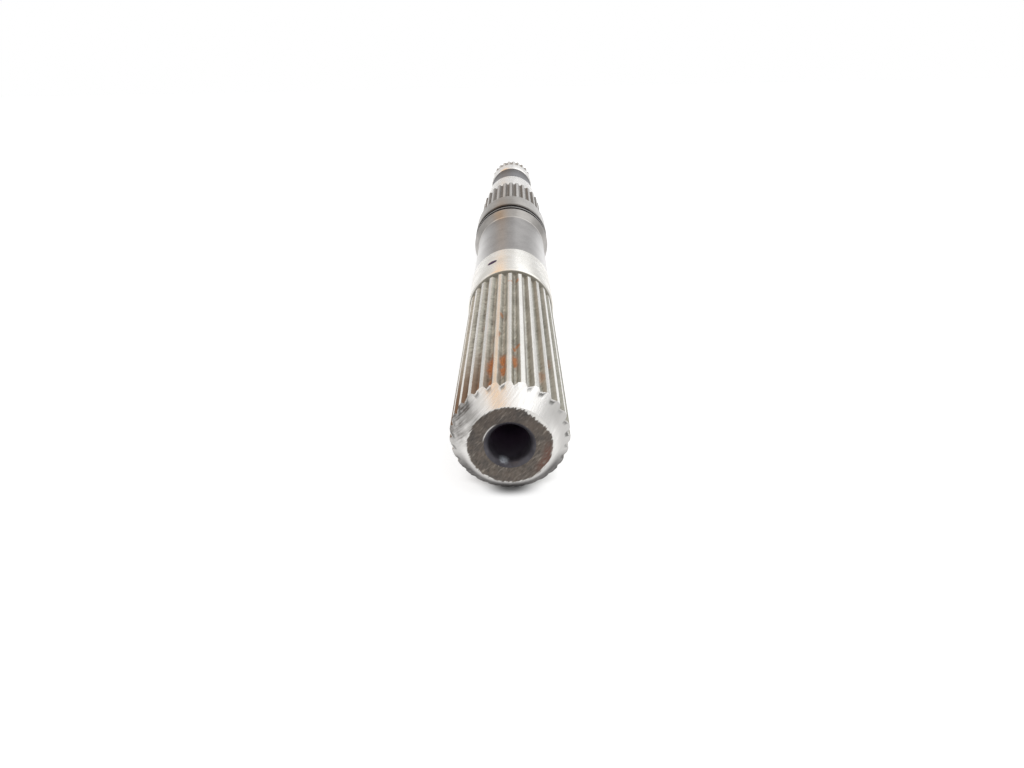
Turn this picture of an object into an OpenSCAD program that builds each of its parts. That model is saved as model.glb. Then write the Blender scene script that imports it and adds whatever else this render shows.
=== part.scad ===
// Gearbox output shaft, turned from one bar: a long splined tail with a drilled end, a ground gear seat,
// a plain body, a grooved collar, a second spline, a bearing journal, a neck and a splined pilot.
// Millimetres. The axis is +Y, the drilled end faces -Y, and the origin is on the axis at that end.

/* [Drilled end] */
// Outer diameter of the flat ring on the end
end_face_d = 21; // [18:0.5:24]
// Length of the ground chamfer that runs out over the teeth
end_chamfer_len = 4.9; // [3:0.1:7]
// Diameter of the end bore
bore_d = 10; // [8:0.5:12]
// Depth of the bore, without its drill point
bore_depth = 60; // [30:1:85]
// Width of the countersink round the bore's mouth
mouth_w = 1.5; // [0.5:0.1:1.8]
// Depth of that countersink
mouth_depth = 1.4; // [0.8:0.1:2]

/* [Long spline] */
// Number of teeth
tail_teeth = 27; // [22:1:32]
// Diameter over the tooth tips
tail_tip_d = 30; // [28:0.5:31]
// Depth of the valleys
tail_depth = 1.25; // [0.9:0.05:1.5]
// Width of a tooth's land
tail_land = 1.25; // [0.9:0.05:1.5]
// Length from the end face to the relief groove
tail_len = 96.4; // [75:0.1:130]
// Turn of the teeth about the axis, from a tooth straight up
tail_turn = 0; // [-6:0.5:6]

/* [Gear seat] */
// Width of the relief groove before the seat
relief_w = 1.7; // [1.2:0.1:4]
// Diameter of the ground seat
seat_d = 31.3; // [31:0.1:33]
// Length of the ground seat
seat_len = 29.2; // [20:0.1:40]
// Diameter of the clip hole in the middle of the seat
clip_d = 3.8; // [2:0.1:6]
// Depth of the clip hole
clip_depth = 6; // [3:0.5:8]
// Direction of the clip hole, from straight up
clip_turn = -26; // [-90:1:90]

/* [Body] */
// Diameter of the plain body
body_d = 30.8; // [29:0.1:31]
// Length of the plain body
body_len = 60; // [40:0.1:90]
// Length of the cone that rises to the rim
cone_len = 6.5; // [4:0.1:10]
// Radius of the fillet where the body meets the cone
cone_fillet = 5; // [2:0.5:8]

/* [Collar] */
// Diameter of the rim in front of the ring grooves
rim_d = 35.2; // [34:0.1:35.4]
// Width of the rim
rim_w = 0.9; // [0.6:0.1:3]
// Width of the ring groove behind the rim
groove_1_w = 3.2; // [2:0.1:5]
// Width of the ring groove before the collar
groove_2_w = 5.2; // [3:0.1:7]
// Depth of the ring grooves
groove_depth = 1.5; // [0.8:0.1:2.2]
// Width of the land between the grooves
groove_land = 2.2; // [1.6:0.1:4]
// Diameter of the collar
collar_d = 35.5; // [34.6:0.1:36]
// Length of the collar behind the grooves
collar_len = 21.8; // [15:0.1:40]

/* [Second spline] */
// Number of teeth
hub_teeth = 28; // [24:1:32]
// Diameter over the tooth tips
hub_tip_d = 32.6; // [32:0.1:33.6]
// Depth of the valleys
hub_depth = 1.15; // [0.8:0.05:1.2]
// Width of a tooth's land
hub_land = 1.45; // [1:0.05:1.6]
// Width of the relief groove between the collar and the teeth
hub_relief_w = 1.6; // [1.2:0.1:3]
// Length from the collar to the teeth's far end
hub_len = 50.5; // [30:0.5:60]

/* [Bearing journal and neck] */
// Diameter of the bearing journal
journal_d = 29.8; // [28:0.1:30]
// Length of the bearing journal
journal_len = 32; // [25:0.5:45]
// Diameter of the neck
neck_d = 26.4; // [24:0.1:27]
// Length of the neck
neck_len = 41.5; // [30:0.5:60]

/* [Pilot] */
// Diameter of the smooth pilot
pilot_d = 27.6; // [27.2:0.1:28.4]
// Length of the smooth stretch
pilot_len = 16; // [12:0.5:30]
// Diameter over the pilot's teeth
pilot_tip_d = 27; // [26:0.1:27]
// Number of teeth
pilot_teeth = 24; // [20:1:28]
// Depth of the valleys
pilot_depth = 0.95; // [0.6:0.05:1.2]
// Width of a tooth's land
pilot_land = 1.35; // [1:0.05:1.6]
// Length of the teeth
pilot_teeth_len = 18; // [8:0.5:24]
// Mouth diameter of the turning centre in the end
centre_d = 8; // [6:0.5:10]
// Diameter of the pilot drill below the turning centre
centre_drill_d = 3.2; // [2:0.1:4]
// Depth of the pilot drill, from the end face
centre_drill_depth = 11; // [9:0.5:16]

/* [Edges] */
// How far the floor of a relief groove lies below the valleys
relief_below = 0.35; // [0.2:0.05:0.6]
// Chamfer on the ground edges
edge = 0.5; // [0.2:0.1:0.5]
// Chamfer where the teeth end at a groove or an end
tooth_edge = 0.9; // [0.6:0.1:1.2]

/* [Hidden] */
$fn = 96;
over = 1;
pressure_angle = 30;
drill_point_angle = 118;
drill_web_r = 0.6;
centre_angle = 60;
fillet_steps = 5;
// Turn of the round faces' seam, so that a flat side of their coarse mesh faces down
seam_turn = 3.75;

// Radii of the steps
tip_r = tail_tip_d / 2;
relief_r = tip_r - tail_depth - relief_below;
seat_r = seat_d / 2;
body_r = body_d / 2;
rim_r = rim_d / 2;
collar_r = collar_d / 2;
hub_r = hub_tip_d / 2;
hub_relief_r = hub_r - hub_depth - relief_below;
journal_r = journal_d / 2;
neck_r = neck_d / 2;
pilot_r = pilot_d / 2;
pilot_tip_r = pilot_tip_d / 2;

// Places along the axis, from the drilled end
seat_at = tail_len + relief_w;
body_at = seat_at + seat_len;
cone_at = body_at + body_len;
rim_at = cone_at + cone_len;
groove_1_at = rim_at + rim_w;
groove_2_at = groove_1_at + groove_1_w + groove_land;
collar_at = groove_2_at + groove_2_w;
hub_at = collar_at + collar_len;
journal_at = hub_at + hub_len;
neck_at = journal_at + journal_len;
pilot_at = neck_at + neck_len;
pilot_teeth_at = pilot_at + pilot_len;
end_at = pilot_teeth_at + pilot_teeth_len;

// The cone leaves the body in an arc that is tangent to both
cone_slope = atan((rim_r - body_r) / cone_len);
fillet_run = cone_fillet * tan(cone_slope / 2);
fillet_arc = [
    for (i = [0 : fillet_steps])
        let (a = cone_slope * i / fillet_steps)
            [body_r + cone_fillet * (1 - cos(a)), cone_at - fillet_run + cone_fillet * sin(a)]
];

// Half of the turned outline, as radius and place, from the drilled end to the pilot's end
outline = concat(
    [
        [0, 0],
        [end_face_d / 2, 0],
        [tip_r, end_chamfer_len],
        [tip_r, tail_len - tooth_edge],
        [tip_r - tooth_edge, tail_len],
        [relief_r, tail_len],
        [relief_r, seat_at],
        [seat_r - edge, seat_at],
        [seat_r, seat_at + edge],
        [seat_r, body_at - edge],
        [body_r, body_at],
    ],
    fillet_arc,
    [
        [rim_r, rim_at],
        [rim_r, groove_1_at],
        [rim_r - groove_depth, groove_1_at],
        [rim_r - groove_depth, groove_1_at + groove_1_w],
        [rim_r, groove_1_at + groove_1_w],
        [rim_r, groove_2_at],
        [rim_r - groove_depth, groove_2_at],
        [rim_r - groove_depth, collar_at],
        [collar_r - edge, collar_at],
        [collar_r, collar_at + edge],
        [collar_r, hub_at - edge],
        [collar_r - edge, hub_at],
        [hub_relief_r, hub_at],
        [hub_relief_r, hub_at + hub_relief_w],
        [hub_r - edge, hub_at + hub_relief_w],
        [hub_r, hub_at + hub_relief_w + edge],
        [hub_r, journal_at - tooth_edge],
        [hub_r - tooth_edge, journal_at],
        [journal_r, journal_at],
        [journal_r, neck_at - edge],
        [journal_r - edge, neck_at],
        [neck_r, neck_at],
        [neck_r, pilot_at],
        [pilot_r, pilot_at + pilot_r - neck_r],
        [pilot_r, pilot_teeth_at - edge],
        [pilot_tip_r, pilot_teeth_at],
        [pilot_tip_r, end_at - tooth_edge],
        [pilot_tip_r - tooth_edge, end_at],
        [0, end_at],
    ]
);

// The involute of an angle, in radians
function involute(a) = tan(a) - a * PI / 180;

// Half the angle of a valley at radius r, between two teeth with involute flanks
function valley_half_angle(r, teeth, tip_r, land) =
    let (base_r = tip_r * teeth / (teeth + 1) * cos(pressure_angle))
        180 / teeth
        - (land / 2 / tip_r + involute(acos(base_r / tip_r)) - involute(acos(base_r / r))) * 180 / PI;

// Section of one valley, opening along +X, from its floor to clear of the tips
module valley_section(teeth, tip_r, depth, land) {
    radii = [tip_r - depth, tip_r - depth / 2, tip_r + over / 2];
    half = [for (r = radii) valley_half_angle(r, teeth, tip_r, land)];
    last = len(radii) - 1;
    polygon(concat(
        [for (i = [0 : last]) radii[i] * [cos(half[i]), sin(half[i])]],
        [for (i = [last : -1 : 0]) radii[i] * [cos(half[i]), -sin(half[i])]]
    ));
}

// All the valleys of a spline, from one place along the axis to another, with a tooth up at no turn
module valleys(teeth, tip_r, depth, land, from, to, turn = 0) {
    for (i = [0 : teeth - 1])
        rotate([0, 0, turn - 90 + (i + 0.5) * 360 / teeth])
            translate([0, 0, from])
                linear_extrude(to - from)
                    valley_section(teeth, tip_r, depth, land);
}

// The end bore with its countersunk mouth and its drill point
module end_bore() {
    bore_r = bore_d / 2;
    point_len = (bore_r - drill_web_r) / tan(drill_point_angle / 2);
    rotate_extrude()
        polygon([
            [0, -over],
            [bore_r + mouth_w, -over],
            [bore_r + mouth_w, 0],
            [bore_r, mouth_depth],
            [bore_r, bore_depth],
            [drill_web_r, bore_depth + point_len],
            [0, bore_depth + point_len],
        ]);
}

// The blind hole for the gear's clip, in the middle of the seat
module clip_hole() {
    translate([0, 0, seat_at + seat_len / 2])
        rotate([0, 0, clip_turn - 90])
            translate([seat_r - clip_depth, 0, 0])
                rotate([0, 90, 0])
                    cylinder(d = clip_d, h = clip_depth + over);
}

// The turning centre in the pilot's end
module turning_centre() {
    cone_depth = (centre_d - centre_drill_d) / 2 / tan(centre_angle / 2);
    rotate_extrude()
        polygon([
            [0, end_at - centre_drill_depth],
            [centre_drill_d / 2, end_at - centre_drill_depth],
            [centre_drill_d / 2, end_at - cone_depth],
            [centre_d / 2, end_at],
            [centre_d / 2, end_at + over],
            [0, end_at + over],
        ]);
}

module output_shaft() {
    color([0.62, 0.60, 0.57])
        rotate([-90, 0, 0])
            difference() {
                rotate([0, 0, seam_turn])
                    rotate_extrude()
                        polygon(outline);
                valleys(tail_teeth, tip_r, tail_depth, tail_land, -over, tail_len + relief_w / 2, tail_turn);
                valleys(hub_teeth, hub_r, hub_depth, hub_land, hub_at + hub_relief_w / 2, journal_at + over);
                valleys(pilot_teeth, pilot_tip_r, pilot_depth, pilot_land, pilot_teeth_at + edge, end_at + over,
                    180 / pilot_teeth);
                end_bore();
                clip_hole();
                turning_centre();
            }
}

output_shaft();
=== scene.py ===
# %% [markdown]
# # A gearbox output shaft, dressed in Blender
# The shaft is one bar of steel, turned, splined and ground. It lies on its side on a white table and is seen
# from its drilled end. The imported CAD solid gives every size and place. This lesson builds a finer skin over
# that form, so that tooth edges, ground-over burrs and the small hole catch the light.

import bpy
import numpy as np
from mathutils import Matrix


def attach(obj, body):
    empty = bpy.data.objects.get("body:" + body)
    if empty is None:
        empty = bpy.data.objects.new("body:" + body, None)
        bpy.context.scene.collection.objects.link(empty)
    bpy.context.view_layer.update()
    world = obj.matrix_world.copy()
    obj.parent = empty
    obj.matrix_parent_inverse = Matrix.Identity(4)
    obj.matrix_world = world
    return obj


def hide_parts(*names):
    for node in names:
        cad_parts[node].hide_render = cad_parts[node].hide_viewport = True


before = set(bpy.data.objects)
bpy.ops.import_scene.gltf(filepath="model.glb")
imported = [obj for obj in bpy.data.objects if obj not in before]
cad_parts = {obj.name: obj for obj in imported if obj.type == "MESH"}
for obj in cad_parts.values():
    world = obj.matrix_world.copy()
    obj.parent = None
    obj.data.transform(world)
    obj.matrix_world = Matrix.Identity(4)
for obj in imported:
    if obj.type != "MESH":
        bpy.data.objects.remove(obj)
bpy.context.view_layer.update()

# %% [markdown]
# ## Sizes
# All sizes are in millimetres and are those of the CAD source: radii of the steps, and places along the axis,
# which is +Y. A script that repeats the drawing's own numbers is easier to check than one that measures the
# imported mesh.

# %% Sizes in millimetres
MM = 0.001
END_FACE_R = 10.5
CHAMFER_LEN = 4.9
CHAMFER_FOOT = 0.5
BORE_R = 5.0
BORE_DEPTH = 60.0
MOUTH_R = 6.5
MOUTH_DEPTH = 1.4
DRILL_WEB_R = 0.6
DRILL_POINT = np.radians(59)
PRESSURE_ANGLE = np.radians(30)
EDGE = 0.5
SMALL_ROUND = 0.12
TOOTH_EDGE = 0.9
LAND_ROUND = 0.14
ROOT_ROUND = 0.3
TAIL = {"teeth": 27, "tip_r": 15.0, "depth": 1.25, "land": 1.25, "turn": 0.0}
HUB = {"teeth": 28, "tip_r": 16.3, "depth": 1.15, "land": 1.45, "turn": 0.0}
PILOT_TEETH = {"teeth": 24, "tip_r": 13.5, "depth": 0.95, "land": 1.35, "turn": np.pi / 24}
TAIL_END = 96.4
RELIEF_R = 13.4
SEAT_AT = 98.1
SEAT_R = 15.65
CLIP_AT = 112.7
CLIP_R = 1.9
CLIP_DEPTH = 6.0
CLIP_TURN = np.radians(-26)
BODY_AT = 127.3
BODY_R = 15.4
CONE_AT = 187.3
RIM_AT = 193.8
RIM_R = 17.6
RIM_W = 0.9
GROOVE_1_W = 3.2
GROOVE_2_W = 5.2
GROOVE_R = 16.1
COLLAR_AT = 205.3
COLLAR_R = 17.75
HUB_AT = 227.1
HUB_RELIEF_R = 14.8
HUB_RELIEF_W = 1.6
JOURNAL_AT = 277.6
JOURNAL_R = 14.9
NECK_AT = 309.6
NECK_R = 13.2
PILOT_AT = 351.1
PILOT_R = 13.8
PILOT_TEETH_AT = 367.1
END_AT = 385.1
CENTRE_R = 4.0
CENTRE_ANGLE = np.radians(30)
CENTRE_DRILL_R = 1.6
CENTRE_DRILL_DEPTH = 11.0
print("Length of the shaft:", END_AT, "mm")

# %% [markdown]
# ## Rounded corners
# No machined edge is perfectly sharp: a thin rounding draws a bright line along it. The outline is given as
# plain corners, and one helper rounds them all at once. A Bevel modifier could do it too, but it would also
# bevel the edges between the small facets of the teeth.

# %% Round the corners of a path


def rounded(corners, radii, steps=3):
    """Rounds each inner corner of an open path with a quadratic Bezier curve.

    The curve starts one radius before the corner and ends one radius after it, but at most 0.45 of a side
    away: (1-t)^2 * start + 2t(1-t) * corner + t^2 * end.
    """
    points = np.asarray(corners, float)
    inner = points[1:-1]
    before = points[:-2] - inner
    after = points[2:] - inner
    before_len = np.linalg.norm(before, axis=1)
    after_len = np.linalg.norm(after, axis=1)
    cut = np.minimum(np.broadcast_to(radii, before_len.shape), 0.45 * np.minimum(before_len, after_len))
    start = inner + before * (cut / before_len)[:, None]
    end = inner + after * (cut / after_len)[:, None]
    t = np.linspace(0, 1, steps + 1)[None, :, None]
    curves = (1 - t) ** 2 * start[:, None] + 2 * t * (1 - t) * inner[:, None] + t**2 * end[:, None]
    return np.vstack([points[:1], curves.reshape(-1, 2), points[-1:]])


print("A square corner becomes", len(rounded([(0, 0), (1, 0), (1, 1)], 0.1)) - 2, "points")

# %% [markdown]
# ## Teeth
# A spline tooth has a narrow land on top and involute flanks. Seen along the axis, a spline is a radius that
# changes with the angle, so half a pitch is drawn once, from the middle of a land to the middle of a valley,
# then mirrored and repeated round the ring.

# %% Section of a spline


def involute(angle):
    """The involute function: tan(a) - a."""
    return np.tan(angle) - angle


def tooth_section(teeth, tip_r, depth, land, turn):
    """Angles, radii and valley places of one ring round a spline.

    Half a tooth's angle at radius r is land / 2 / tip_r + inv(a_tip) - inv(a_r), where cos(a_r) = base radius
    / r. The valley place runs from -1 at one land's edge through 0 in the valley's middle to 1 at the next
    land's edge.
    """
    floor_r = tip_r - depth
    half_pitch = np.pi / teeth
    base_r = tip_r * teeth / (teeth + 1) * np.cos(PRESSURE_ANGLE)
    half_land = land / 2 / tip_r
    half_root = half_land + involute(np.arccos(base_r / tip_r)) - involute(np.arccos(base_r / floor_r))
    corners = [
        (0, tip_r),
        (half_land * tip_r, tip_r),
        (half_root * floor_r, floor_r),
        (half_pitch * floor_r, floor_r),
    ]
    path = rounded(corners, [LAND_ROUND, ROOT_ROUND])
    angle = path[:, 0] / path[:, 1]
    one_angle = np.concatenate([angle, (2 * half_pitch - angle)[-2:0:-1]])
    one_radius = np.concatenate([path[:, 1], path[-2:0:-1, 1]])
    one_place = (one_angle - half_pitch) / (half_pitch - half_land)
    starts = turn + 2 * half_pitch * np.arange(teeth)
    angles = (starts[:, None] + one_angle).ravel()
    return angles, np.tile(one_radius, teeth), np.tile(one_place, teeth)


tail_angles, tail_radius, tail_place = tooth_section(**TAIL)
hub_angles, hub_radius, _ = tooth_section(**HUB)
pilot_angles, pilot_radius, _ = tooth_section(**PILOT_TEETH)
print("Columns round the three splines:", len(tail_angles), len(hub_angles), len(pilot_angles))

# %% [markdown]
# ## Rings into a mesh
# The skin is a stack of rings from the bottom of the bore, out over the end and along the shaft to the far
# end. Inside one block every ring has the same angles, so its faces are a grid. Two blocks with different
# angles are joined by a band of triangles that takes a step on one ring or the other, whichever comes first
# round the axis. Each face keeps the number of its finish.

# %% Blocks of rings, joins and end caps
SKINS = [
    "bore_skin",
    "end_face_skin",
    "ground_chamfer",
    "tail_spline_skin",
    "groove_skin",
    "ground_seat",
    "dull_body",
    "turned_cone",
    "worn_collar",
    "hub_spline_skin",
    "ground_journal",
    "dark_neck",
    "pilot_spline_skin",
    "faced_end",
]
SKIN = {name: number for number, name in enumerate(SKINS)}
points = []
faces = []
face_skins = []


def add_points(block):
    """Adds an array of points in millimetres and returns their numbers."""
    first = sum(len(p) for p in points)
    points.append(block.reshape(-1, 3))
    return first + np.arange(points[-1].shape[0])


def add_faces(corners, skin):
    """Adds an array of faces, each a row of point numbers, with one skin number or one for each face."""
    faces.append(corners)
    face_skins.append(np.broadcast_to(skin, len(corners)))


def round_axis(angle, radius, along):
    """A point at an angle from +Z towards +X: (r sin a, along, r cos a)."""
    angle, radius, along = np.broadcast_arrays(angle, radius, along)
    return np.stack([radius * np.sin(angle), along, radius * np.cos(angle)], axis=-1)


def add_rings(angles, radius, along, skins, left_out=None):
    """A grid of rings: face (i, j) joins ring i to ring i + 1 and column j to j + 1, and the last column to
    the first.
    """
    grid = add_points(round_axis(angles[None, :], radius, along)).reshape(len(radius), len(angles))
    ahead = np.roll(grid, -1, axis=1)
    quads = np.stack([grid[:-1], ahead[:-1], ahead[1:], grid[1:]], axis=-1)
    keep = np.ones(quads.shape[:2], bool)
    if left_out is not None:
        keep[left_out] = False
    add_faces(quads[keep], np.broadcast_to(np.asarray(skins)[:, None], keep.shape)[keep])
    return grid


def join_rings(ring, angles, next_ring, next_angles, skin):
    """Triangles between two rings with different angles, stepping at the middles of their sides."""
    middle = angles + np.diff(angles, append=angles[0] + 2 * np.pi) / 2
    next_middle = next_angles + np.diff(next_angles, append=next_angles[0] + 2 * np.pi) / 2
    across = next_ring[np.searchsorted(next_middle, middle) % len(next_ring)]
    back = ring[np.searchsorted(middle, next_middle) % len(ring)]
    add_faces(np.stack([ring, np.roll(ring, -1), across], axis=1), skin)
    add_faces(np.stack([back, np.roll(next_ring, -1), next_ring], axis=1), skin)


def cap(ring, along, skin, at_start):
    """Closes a ring with a fan of triangles round a point on the axis."""
    centre = np.full(len(ring), add_points(np.array([[0.0, along, 0.0]]))[0])
    ahead = np.roll(ring, -1)
    fan = [centre, ahead, ring] if at_start else [ring, ahead, centre]
    add_faces(np.stack(fan, axis=1), skin)


print("Finishes:", ", ".join(SKINS))

# %% [markdown]
# ## Drilled end
# A bore with a countersunk mouth goes into the flat end ring. Its path starts at the drill point, comes up
# the wall, and turns out over the countersink and the ring to the foot of the chamfer.

# %% Bore, countersink and end ring
chamfer_slope = (TAIL["tip_r"] - END_FACE_R) / CHAMFER_LEN
bore_path = rounded(
    [
        (DRILL_WEB_R, BORE_DEPTH + (BORE_R - DRILL_WEB_R) / np.tan(DRILL_POINT)),
        (BORE_R, BORE_DEPTH),
        (BORE_R, MOUTH_DEPTH),
        (MOUTH_R, 0),
        (END_FACE_R, 0),
        (END_FACE_R + chamfer_slope * CHAMFER_FOOT, CHAMFER_FOOT),
    ],
    radii=[0.1, 0.9, 0.7, 0.14],
    steps=6,
)
round_angles = np.linspace(0, 2 * np.pi, 180, endpoint=False)
mid_r = (bore_path[1:, 0] + bore_path[:-1, 0]) / 2
end_skins = np.select(
    [mid_r < MOUTH_R - 0.1, mid_r < END_FACE_R],
    [SKIN["bore_skin"], SKIN["end_face_skin"]],
    SKIN["ground_chamfer"],
)
end_grid = add_rings(round_angles, bore_path[:, :1], bore_path[:, 1:], end_skins)
cap(end_grid[0], bore_path[0, 1], SKIN["bore_skin"], at_start=True)
print("Rings of the drilled end:", len(end_grid))

# %% [markdown]
# ## Ground chamfer, burrs and the long spline
# The end was ground to a cone after the teeth were cut. The wheel dragged metal over the mouth of every
# valley, so each one closes on a slant, with a thin lip. A row of points follows that slanted line, which
# keeps the edge crisp without a dense mesh. Each valley gets its own amount of burr from a seeded random
# draw.

# %% Tail spline


def lead_in(section_radius, start_r, start_y, tip_r, tip_y):
    """Where a cone from (start_r, start_y) to (tip_r, tip_y) meets each column of a spline: its place along
    the axis.
    """
    share = np.clip((section_radius - start_r) / (tip_r - start_r), 0, 1)
    return start_y + share * (tip_y - start_y)


BURR_SEED = 27
BURR_ROOT = 0.45
FIN_HEIGHT = 0.34
FIRST_RING = 0.9
MOUTH_END = 9.0
draws = np.random.default_rng(BURR_SEED)
columns_per_tooth = len(tail_angles) // TAIL["teeth"]
burr_size = np.repeat(draws.uniform(0.62, 1.0, TAIL["teeth"]), columns_per_tooth)
burr_foot = np.repeat(draws.uniform(-0.8, -0.45, TAIL["teeth"]), columns_per_tooth)
facet_depth = np.repeat(draws.uniform(0.35, 1.0, TAIL["teeth"]), columns_per_tooth)
crease = lead_in(tail_radius, END_FACE_R, 0, TAIL["tip_r"], CHAMFER_LEN)
floor_crease = crease.min()
slant = np.clip((tail_place - burr_foot) / (1 - burr_foot), 0, 1)
burr_root = floor_crease + BURR_ROOT
slant_line = burr_root + (CHAMFER_LEN - floor_crease - BURR_ROOT) * slant * burr_size
chamfer_end = np.where(tail_place < 1, np.maximum(crease, slant_line), crease)
burr = np.clip((chamfer_end - crease) / 0.5, 0, 1)
chamfer_end = chamfer_end + burr * draws.uniform(-0.1, 0.1, len(crease))
fin = FIN_HEIGHT * burr * slant**2 * burr_size
chamfer_shares = np.array([0.0, 0.2, 0.4, 0.56, 0.68, 0.8, 0.94, 1.0])[:, None]
facet_dip = np.array([0.0, 0.0, 0.0, 0.0, -0.03, -0.16, -0.1, 0.1])[:, None]
# Painted shade on the facet below each lip, and a painted highlight on the lip itself.
facet_highlight_and_shade = np.array([0.0, 0.0, 0.0, 0.0, -0.2, -0.6, -1.0, 1.0])[:, None]
chamfer_y = FIRST_RING + chamfer_shares * (chamfer_end - FIRST_RING)
fin_shares = np.array([0.0, 0.0, 0.0, 0.0, 0.0, 0.0, 0.4, 1.0])[:, None]
chamfer_r = END_FACE_R + chamfer_slope * chamfer_y + facet_dip * burr * facet_depth + fin_shares * fin
lip_y = chamfer_end + 0.06 * burr
lip_r = chamfer_r[-1] + 0.02 * burr
foot_y = chamfer_end + 0.02 + 0.25 * burr
valley_shares = np.array([0.0, 0.12, 0.35, 1.0])[:, None]
valley_y = foot_y + valley_shares * (MOUTH_END - foot_y)
straight_y = np.linspace(15, TAIL_END - TOOTH_EDGE - 3, 12)[:, None]
run_out = TAIL_END - np.clip(tail_radius - (TAIL["tip_r"] - TOOTH_EDGE), 0, TOOTH_EDGE)
end_y = np.full_like(tail_radius, TAIL_END)
tail_y = np.vstack([chamfer_y, lip_y, valley_y, straight_y + 0 * tail_radius, run_out, end_y])
full_r = np.tile(tail_radius, (len(valley_shares) + len(straight_y) + 1, 1))
tail_r = np.vstack([chamfer_r, lip_r, full_r, np.minimum(tail_radius, TAIL["tip_r"] - TOOTH_EDGE)])
tail_skins = np.full(len(tail_y) - 1, SKIN["tail_spline_skin"])
tail_skins[: len(chamfer_shares)] = SKIN["ground_chamfer"]
tail_grid = add_rings(tail_angles, tail_r, tail_y, tail_skins)
join_rings(end_grid[-1], round_angles, tail_grid[0], tail_angles, SKIN["ground_chamfer"])
burr_highlight_and_shade = np.vstack([facet_highlight_and_shade * burr * facet_depth, burr * facet_depth])
burr_points = tail_grid[: len(burr_highlight_and_shade)]
print("Rings of the long spline:", len(tail_grid))

# %% [markdown]
# ## Gear seat, body, cone and collar
# Behind the teeth the shaft is plain turning work, so one path carries the whole stretch: the relief groove,
# the ground seat, the body, the cone that leaves it in an arc, the rim, two ring grooves and the collar. The
# seat has a small blind hole. A Boolean modifier could cut it, but a patch of rings that turns from a square
# of the grid into a circle gives clean faces round the rim.

# %% Turned stretch from the relief groove to the second spline
SEAT_COLUMNS = 216
HOLE_SPAN = 12
HOLE_HALF = 2.7
CONE_ROUND = 1.3
before_hole = [
    (RELIEF_R, TAIL_END + 0.05),
    (RELIEF_R, SEAT_AT),
    (SEAT_R - EDGE, SEAT_AT),
    (SEAT_R, SEAT_AT + EDGE),
    (SEAT_R, CLIP_AT - HOLE_HALF),
]
groove_1_at = RIM_AT + RIM_W
groove_2_at = COLLAR_AT - GROOVE_2_W
after_hole = [
    (SEAT_R, CLIP_AT + HOLE_HALF),
    (SEAT_R, BODY_AT - EDGE),
    (BODY_R, BODY_AT),
    (BODY_R, CONE_AT),
    (RIM_R, RIM_AT),
    (RIM_R, groove_1_at),
    (GROOVE_R, groove_1_at),
    (GROOVE_R, groove_1_at + GROOVE_1_W),
    (RIM_R, groove_1_at + GROOVE_1_W),
    (RIM_R, groove_2_at),
    (GROOVE_R, groove_2_at),
    (GROOVE_R, COLLAR_AT),
    (COLLAR_R - EDGE, COLLAR_AT),
    (COLLAR_R, COLLAR_AT + EDGE),
    (COLLAR_R, HUB_AT - EDGE),
    (COLLAR_R - EDGE, HUB_AT),
    (HUB_RELIEF_R, HUB_AT),
    (HUB_RELIEF_R, HUB_AT + HUB_RELIEF_W - 0.05),
]
after_radii = np.full(len(after_hole) - 2, SMALL_ROUND)
after_radii[2] = CONE_ROUND
hole_rows = np.linspace(CLIP_AT - HOLE_HALF, CLIP_AT + HOLE_HALF, HOLE_SPAN + 1)
first_path = rounded(before_hole, 0.15)
turned_path = np.vstack(
    [
        first_path,
        [(SEAT_R, row) for row in hole_rows[1:-1]],
        rounded(after_hole, after_radii, steps=4),
    ]
)
seat_step = 2 * np.pi / SEAT_COLUMNS
seat_angles = CLIP_TURN % seat_step + seat_step * np.arange(SEAT_COLUMNS)
hole_row = len(first_path) - 1
hole_column = int(np.argmin(np.abs(seat_angles - CLIP_TURN % (2 * np.pi)))) - HOLE_SPAN // 2
mid_r = (turned_path[1:, 0] + turned_path[:-1, 0]) / 2
mid_y = (turned_path[1:, 1] + turned_path[:-1, 1]) / 2
turned_names = ["groove_skin", "ground_seat", "dull_body", "turned_cone", "groove_skin", "worn_collar"]
turned_skins = np.select(
    [
        (mid_y < SEAT_AT + EDGE) & (mid_r < SEAT_R - 0.45),
        mid_y < BODY_AT - EDGE / 2,
        mid_y < CONE_AT - 1.2,
        mid_y < groove_1_at - 0.1,
        (mid_r < RIM_R - 0.14) & (mid_y < COLLAR_AT + EDGE),
        mid_y < HUB_AT - 0.02,
    ],
    [SKIN[name] for name in turned_names],
    SKIN["groove_skin"],
)
hole_block = (slice(hole_row, hole_row + HOLE_SPAN), slice(hole_column, hole_column + HOLE_SPAN))
turned_grid = add_rings(seat_angles, turned_path[:, :1], turned_path[:, 1:], turned_skins, hole_block)
join_rings(tail_grid[-1], tail_angles, turned_grid[0], seat_angles, SKIN["groove_skin"])
print("Rings of the turned stretch:", len(turned_grid))

# %% Clip hole


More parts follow.
